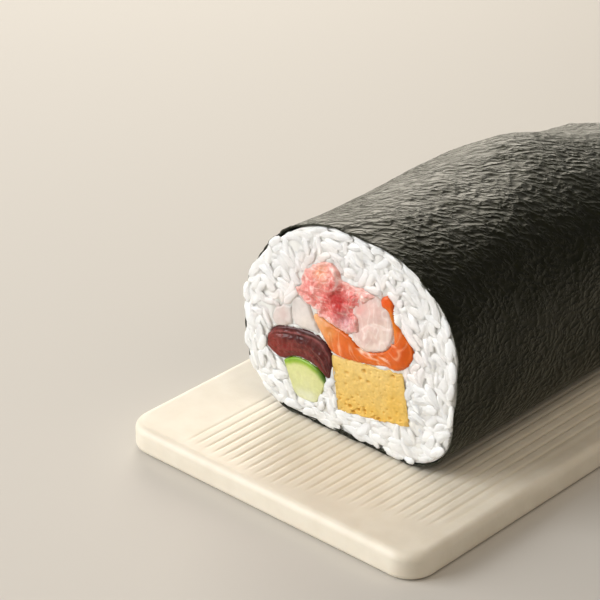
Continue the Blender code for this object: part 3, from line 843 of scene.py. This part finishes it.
def make_filling(name, material, relief, paint, bulge=0.3, columns=110, rows=46, edge=0.6,
                 front=0.0, grow=0.15, ragged=0.12, rim=None, slot=None):
    """A filling: a closed band between its lower and upper edge, carried along the roll.

    For each step u from tip to tip, a ring of points runs up the front face between the two
    edges (share v), back along the top, down the far face and forward underneath. The faces
    curve back at their outline as a quarter circle, bulge in the middle and carry the
    relief, a function of u, v and the section point. rim is a colour that thin edges fade to,
    and over how far.
    """
    lower, upper = filling_edges(name, columns)
    centre = (lower.mean(0) + upper.mean(0)) / 2
    lower, upper = (line + grow * (line - centre) / np.linalg.norm(line - centre, axis=1,
                                                                   keepdims=True)
                    for line in (lower, upper))
    tips = np.sqrt(1 - np.linspace(-1, 1, columns) ** 8)[:, None]
    lower, upper = (line + ragged * tips * pair(noises(line, (1, 1.5, 131), (0.5, 0.7, 132)),
                                                noises(line, (1, 1.5, 133), (0.5, 0.7, 134)))
                    for line in (lower, upper))
    loop = np.vstack([smooth_line(lower, 260), smooth_line(upper, 260)])
    t = np.linspace(0, 1, rows)
    v = (0.65 * t + 0.35 * smoothstep(t))[None, :, None]
    face = lower[:, None] + (upper - lower)[:, None] * v
    u = np.linspace(0, 1, columns)[:, None] + 0 * v[..., 0]
    v = v[..., 0] + 0 * u
    away = distance_to(face, loop)
    rounded = edge - np.sqrt(np.maximum(edge**2 - (edge - np.minimum(away, edge)) ** 2, 0))
    inner = smoothstep(away / (2 * edge))
    dome = bulge * smoothstep(away / max(away.max(), 1e-6))
    height = relief(u, v, face) * inner + dome - rounded
    near = np.stack([face[..., 0], front - height, face[..., 1]], -1)
    far = np.stack([face[..., 0], ROLL_LENGTH - front + height, face[..., 1]], -1)
    depths = np.linspace(0, 1, 20)[1:-1, None]
    top, under = (near[:, None, end] + (far - near)[:, None, end] * depths for end in (-1, 0))
    ring = np.concatenate([near, top, far[:, ::-1], under[:, ::-1]], 1)
    ring[..., [0, 2]] *= taper(ring[..., 1])[..., None]
    face_colour = paint(u, v, face)
    if rim:
        face_colour = toward(face_colour, rim[0], 0.6 * np.exp(-away / rim[1]))
    top_colour, under_colour = (np.repeat(face_colour[:, end, None], len(depths), 1)
                                for end in (-1, 0))
    colour = np.concatenate([face_colour, top_colour, face_colour[:, ::-1], under_colour], 1)
    faces = quads(*ring.shape[:2], close_columns=True)
    return add_piece(name + "_filling", lay(ring.reshape(-1, 3)), faces.tolist(), material,
                     node=[name], slot=slot or name, colour=colour.reshape(-1, 3))


def tuna_relief(u, v, face):
    """A ridge and a groove run under the top edge, with fibres along the slab."""
    ridge = 0.36 * bell(v - 0.83, 0.045) - 0.3 * bell(v - 0.74, 0.05)
    fibre = 0.10 * noise(pair(u * 22, v * 12), (3.0, 1.0), 51)
    broken = smoothstep(0.5 + 0.9 * noise(face, 2.2, 55)) * smoothstep((0.95 - u) / 0.2)
    return (ridge * broken + fibre
            + noises(face, (0.25, 4.0, 52), (0.14, 1.0, 56), (0.07, 0.45, 57)))


def tuna_paint(u, v, face):
    """Dark red steeped in soy, paler streaks along the slab, and a painted highlight, a glint, on
    its ridge.
    """
    colour = painted(face, "#4C0F0C", [
        (-20.5, 15.0, 4.0, 3.0, "#8A2E20", 0.85), (-16.0, 16.0, 6.0, 1.8, "#7A2620", 0.8),
        (-12.0, 20.5, 10.0, 1.5, "#3E0E10", 0.85), (-5.0, 13.5, 2.0, 2.5, "#420E10", 0.8)], 53)
    streak = smoothstep((noise(pair(u * 20, v * 14), (4.0, 1.0), 54) - 0.1) / 0.6)
    # painted highlight: a pale line along the ridge, painted into the colour in place of a real
    # glint
    painted_glint = bell(v - 0.82, 0.035) * smoothstep((0.9 - u) / 0.3)
    return toward(toward(colour, "#8E3C34", 0.35 * streak), "#C07070", 0.4 * painted_glint)


def cucumber_relief(u, v, face):
    """Nearly flat, with a wet sparkle of fine cells."""
    return noises(face, (0.06, 1.1, 61), (0.08, 4.0, 62))


def cucumber_paint(u, v, face):
    """Skin where the distance from the stick's own middle nears its radius, pale inside."""
    radius = np.linalg.norm(face - CUCUMBER_MIDDLE, axis=-1) + 0.18 * noise(face, 1.6, 63)
    flesh_colour = painted(face, "#CDD08E", [
        (-12.5, 9.5, 3.5, 2.0, "#D6D798", 0.8), (-11.5, 5.5, 4.0, 2.5, "#DEE0C2", 0.85)], 64)
    ring = smoothstep((radius - 7.7) / 1.1)[..., None]
    rim = smoothstep((radius - 8.4) / 0.7)[..., None]
    dark = smoothstep((face[..., 0] + 10.5) / 4.5)
    green = toward(linear("#98B830"), "#3F6A12", 0.8 * dark)
    colour = flesh_colour + (green - flesh_colour) * ring
    return colour + (toward(linear("#76A422"), "#23420A", dark) - colour) * rim * 0.7


def omelette_relief(u, v, face):
    """Cooked egg layers: pores that grow and crowd towards the bottom, and slanting folds."""
    low = smoothstep((13.0 - face[..., 1]) / 7)
    small = pits(face, 1.3, 0.6, 0.34, 71)
    large = pits(face, 2.3, 0.75, 0.75, 75) * low
    x, z = face[..., 0], face[..., 1]
    slant = pair(x * 0.9 + z * 0.45, z - x * 0.2)
    creases = pits(slant, 3.1, 0.45, 0.9, 79) * smoothstep((face[..., 1] - 14) / 3)
    return (-0.6 * small * (0.4 + 0.6 * low) - 0.8 * large - 0.5 * creases
            + noises(face, (0.12, 1.6, 83), (0.05, 0.5, 84)))


def omelette_paint(u, v, face):
    """Soft yellow, paler on top, and darker in the pores as painted shade."""
    # painted shade: the colour grows darker and browner with each pore's depth
    depth = np.clip(-omelette_relief(u, v, face) / 0.6, 0, 1)
    colour = painted(face, "#DDBA68", [
        (4.0, 18.5, 9.0, 2.0, "#E8C87C", 0.7), (14.0, 12.0, 3.0, 5.0, "#E2B44A", 0.7),
        (8.0, 8.0, 10.0, 2.0, "#E2B650", 0.7)], 85)
    return toward(colour, "#CF9A28", 0.85 * smoothstep(depth))


def salmon_relief(u, v, face):
    """Shallow steps across the muscle bands, and soft dents."""
    return 0.22 * noise(face, 3.0, 91) + 0.10 * noise(pair(u * 60, v * 4), 1.6, 92)


def salmon_paint(u, v, face):
    """Orange, paler at its left end, with fat lines across it and a film along its bottom."""
    colour = painted(face, "#D05C00", [
        (-8.5, 25.5, 3.6, 3.2, "#EBB47E", 0.9), (-4.5, 23.5, 3.2, 2.6, "#E49A54", 0.75),
        (-1.0, 21.5, 3.5, 2.5, "#DE6420", 0.75), (14.5, 26.5, 3.5, 3.5, "#D05000", 0.9),
        (8.5, 21.5, 4.0, 1.2, "#E4701A", 0.7), (13.0, 32.0, 1.5, 3.0, "#E8902C", 0.7),
        (11.2, 36.0, 2.0, 1.6, "#E2560A", 0.95)], 93, blur=0.8)
    fat = noise(pair(u * 60 + v * 5, v * 2.2), (1.9, 2.4), 96)
    lines = bell(fat, 0.09) * smoothstep((u - 0.05) / 0.1) * smoothstep((0.84 - u) / 0.1)
    colour = toward(colour, "#F8D2A6", 0.35 * lines)
    film = bell(noise(face, (2.8, 0.5), 97), 0.2) * bell(face[..., 1] - 22.6, 1.0)
    film *= smoothstep((face[..., 0] - 2) / 2) * smoothstep((13 - face[..., 0]) / 2)
    return toward(colour, "#F6D9BC", 0.7 * film)


def shrimp_furrow(face):
    """Share of the way along the furrow between the muscle lobes, and height above it: a
    slanting line plus half a sine wave."""
    share = (face[..., 0] - 3.7) / 7.5
    return share, face[..., 1] - (27.0 + 3.3 * share + 1.4 * np.sin(np.pi * np.clip(share, 0, 1)))


def shrimp_relief(u, v, face):
    """A curved furrow between the two muscle lobes, and faint segments."""
    return (-0.12 * bell(shrimp_furrow(face)[1], 0.3)
            + noises(face, (0.22, 2.6, 101), (0.12, 1.1, 102), (0.06, 0.5, 104)))


def shrimp_paint(u, v, face):
    """Pale pink flesh with a white line above the furrow and milky clouds."""
    colour = painted(face, "#D8B6AE", [
        (6.5, 33.5, 3.5, 2.0, "#EFC9C0", 0.6), (3.6, 32.0, 2.0, 2.8, "#E9A09A", 0.7),
        (8.0, 28.0, 4.0, 2.0, "#EBD3C8", 0.6), (10.8, 27.5, 1.4, 4.0, "#F1DFD4", 0.7),
        (6.5, 24.6, 4.0, 0.9, "#F3E3D6", 0.7)], 103)
    share, above = shrimp_furrow(face)
    line = bell(above - 0.15, 0.22) * smoothstep(share * 8) * smoothstep((1 - share) * 8)
    cloud = bell(noise(face + noise(face, 3.0, 106)[..., None], (1.2, 2.6), 105), 0.14)
    return toward(colour, "#FBF1EA", np.maximum(0.5 * line, 0.45 * cloud))


def mince_relief(u, v, face):
    """Soft clumps of chopped fish, each with finer shreds on it."""
    return (noises(face, (0.55, 3.2, 111), (0.30, 1.5, 112), (0.16, 0.75, 113),
                   (0.10, 0.42, 116)) - 0.25 * bell(noise(face, 2.4, 114), 0.12))


def mince_paint(u, v, face):
    """Mixed pinks round a red heart, with pale shreds and one arc of skin."""
    colour = painted(face, "#D6645C", [
        (-6.5, 37.0, 4.2, 2.6, "#E09A8A", 0.8), (-7.0, 37.4, 1.8, 1.2, "#F09C6C", 0.8),
        (-11.3, 33.0, 2.4, 2.4, "#EC8C88", 0.7), (-8.0, 33.0, 2.0, 1.6, "#F3B3AC", 0.6),
        (-2.2, 32.2, 4.2, 3.6, "#B4060C", 1.0), (-4.0, 29.0, 2.4, 2.0, "#E2605C", 0.7),
        (1.8, 34.5, 2.6, 2.0, "#DC6A66", 0.8), (5.6, 35.4, 2.4, 1.4, "#E8B0A6", 0.85),
        (0.0, 27.6, 3.0, 1.8, "#C88890", 0.75)], 115)
    streak = bell(noise(face, (1.6, 1.1), 119), 0.10)
    redness = bell(np.hypot(face[..., 0] + 2.6, face[..., 1] - 32.2), 3.6)
    wisp = bell(noise(face, (0.7, 0.5), 120), 0.16)
    skin_arc = bell(np.hypot(face[..., 0] + 5.0, face[..., 1] - 36.6) - 2.7, 0.3)
    skin_arc *= smoothstep((face[..., 0] + 6.0) / 1.5)
    pale = np.clip(0.6 * streak + 0.3 * wisp + 0.7 * skin_arc, 0, 0.9) * (1 - redness)
    return toward(colour, "#FBE3DC", pale)


def white_fish_relief(u, v, face):
    """Smooth, with faint flakes."""
    return noises(face, (0.18, 2.4, 121), (0.05, 0.8, 122))


def white_fish_paint(u, v, face):
    """Pale and translucent, greyer at the top and pinker on the left."""
    return painted(face, "#DED4CE", [(-18.5, 23.0, 2.2, 1.8, "#CBB0AA", 0.7),
                                     (-14.0, 26.5, 1.6, 1.8, "#D0CAC6", 0.6),
                                     (-10.5, 24.0, 2.2, 2.0, "#E6DCD2", 0.7)], 123)


def make_fillings():
    """Every filling with its own moist material."""
    wet = {"IOR": 1.38, "Coat_Weight": 0.3, "Coat_Roughness": 0.16}
    oily = {"IOR": 1.38, "Roughness": 0.36, "Specular_IOR_Level": 0.35, "Coat_Roughness": 0.12}
    tuna = flesh("soy_marinated_tuna", 0.6, 0.25, 0.3, Roughness=0.4, Subsurface_Weight=0.25,
                 Subsurface_Radius=(1.0, 0.25, 0.15), Subsurface_Scale=0.0012, IOR=1.38,
                 Specular_IOR_Level=0.2, Coat_Weight=0.35, Coat_Roughness=0.07)
    cucumber = flesh("fresh_cucumber", 0.7, 0.08, 0.08, Roughness=0.34, Subsurface_Weight=0.4,
                     Subsurface_Radius=(0.7, 1.0, 0.35), Subsurface_Scale=0.0015, **wet)
    egg = flesh("rolled_omelette", 0.6, 0.10, 0.12, Roughness=0.5, IOR=1.4,
                Subsurface_Weight=0.35, Subsurface_Radius=(1.0, 0.7, 0.25),
                Subsurface_Scale=0.0012)
    salmon = flesh("raw_salmon", 1.1, 0.10, 0.10, Subsurface_Weight=0.45, Coat_Weight=0.22,
                   Subsurface_Radius=(1.0, 0.45, 0.15), Subsurface_Scale=0.0012, **oily)
    shrimp = flesh("raw_shrimp", 1.4, 0.05, 0.08, Roughness=0.3, Subsurface_Weight=0.7,
                   Subsurface_Radius=(1.0, 0.75, 0.65), Subsurface_Scale=0.003, **wet)
    mince = flesh("minced_raw_tuna", 0.5, 0.16, 0.28, Subsurface_Weight=0.5, Coat_Weight=0.35,
                  Subsurface_Radius=(1.0, 0.35, 0.28), Subsurface_Scale=0.0014, **oily)
    white_fish = flesh("raw_white_fish", 1.2, 0.06, 0.08, Roughness=0.32, Subsurface_Weight=0.7,
                       Subsurface_Radius=(1.0, 0.85, 0.75), Subsurface_Scale=0.003, **wet)
    make_filling("marinated_tuna", tuna, tuna_relief, tuna_paint, bulge=0.35, edge=0.7,
                 ragged=0.16)
    make_filling("cucumber", cucumber, cucumber_relief, cucumber_paint, bulge=0.15, edge=0.35,
                 ragged=0.06)
    make_filling("tamagoyaki", egg, omelette_relief, omelette_paint, bulge=0.15, edge=0.35,
                 columns=170, rows=84, front=0.1, ragged=0.26)
    make_filling("salmon", salmon, salmon_relief, salmon_paint, bulge=0.3, edge=0.5, columns=220,
                 rows=24, ragged=0.14)
    make_filling("shrimp", shrimp, shrimp_relief, shrimp_paint, bulge=0.35, edge=0.5,
                 grow=0.8, ragged=0.2, rim=("#F0DCD2", 0.6))
    make_filling("minced_tuna", mince, mince_relief, mince_paint, bulge=0.5, edge=0.6,
                 columns=130, rows=70, grow=0.4, front=-0.15, ragged=0.55, rim=("#EFC9BE", 1.3))
    for name in ("white_fish_right", "white_fish_left"):
        make_filling(name, white_fish, white_fish_relief, white_fish_paint, bulge=0.2, columns=60,
                     rows=30, grow=0.4, ragged=0.3, slot="white_fish")


# Stage

def point_at(thing, target):
    """Turns a lamp or camera so that it looks at the target."""
    way = Vector(target) - thing.location
    thing.rotation_euler = way.to_track_quat("-Z", "Y").to_euler()


def make_stage():
    """A pale table, a broad soft window to the left and front, a weaker one behind it, a warm
    bounce from the right, and a weak even fill."""
    floor = np.array([[-2, -2, 0], [2, -2, 0], [2, 2, 0], [-2, 2, 0]]) - [0, 0, 0.0002]
    mesh = bpy.data.meshes.new("pale_table")
    mesh.from_pydata(floor.tolist(), [], [[0, 1, 2, 3]])
    mesh.materials.append(new_material("pale_table", Base_Color="#CFCBC4", Roughness=0.7)[0])
    table = bpy.data.objects.new("pale_table", mesh)
    bpy.context.scene.collection.objects.link(table)
    for name, place, size, power, colour in (
            ("window", (-0.80, -0.90, 0.56), 1.0, 19.6, "#FFFFFF"),
            ("warm_bounce", (0.55, 0.0, 1.0), 1.0, 3.8, "#FFEED8"),
            ("back_window", (-0.66, 0.58, 0.33), 0.5, 5.2, "#FFF6E8")):
        lamp = bpy.data.lights.new(name, "AREA")
        lamp.size = size
        lamp.energy = power
        lamp.color = linear(colour)
        lamp_object = bpy.data.objects.new(name, lamp)
        lamp_object.location = place
        lamp_object.visible_glossy = name != "warm_bounce"
        bpy.context.scene.collection.objects.link(lamp_object)
        point_at(lamp_object, (0, -0.02, 0.02))
    world = bpy.data.worlds.new("studio")
    world.use_nodes = True
    background = world.node_tree.nodes["Background"]
    background.inputs["Color"].default_value = (*linear("#F2EEE8"), 1)
    background.inputs["Strength"].default_value = FILL_STRENGTH
    bpy.context.scene.world = world
    bpy.context.scene.view_settings.view_transform = "Standard"


def make_camera():
    """A long lens from the right and front, a little above."""
    lens = bpy.data.cameras.new("camera")
    lens.lens = LENS
    lens.sensor_width = SENSOR
    camera = bpy.data.objects.new("camera", lens)
    camera.location = CAMERA_PLACE
    camera.rotation_euler = (radians(CAMERA_TILT), 0, radians(CAMERA_TURN))
    bpy.context.scene.collection.objects.link(camera)
    bpy.context.scene.camera = camera


def main():
    """The whole scene: camera, stage, plate, nori, rice and fillings."""
    make_camera()
    make_stage()
    make_plate()
    make_nori()
    rice = flesh("steamed_rice", 0.7, 0.04, 0.14, Roughness=0.36, IOR=1.4, Subsurface_Weight=0.7,
                 Subsurface_Radius=(1.0, 0.95, 0.9), Subsurface_Scale=0.0024, Coat_Weight=0.4,
                 Coat_Roughness=0.16)
    loops = [filling_loop(name) for name in FILLINGS]
    make_rice_core(rice, loops)
    make_rice_grains(rice, loops)
    make_fillings()


main()
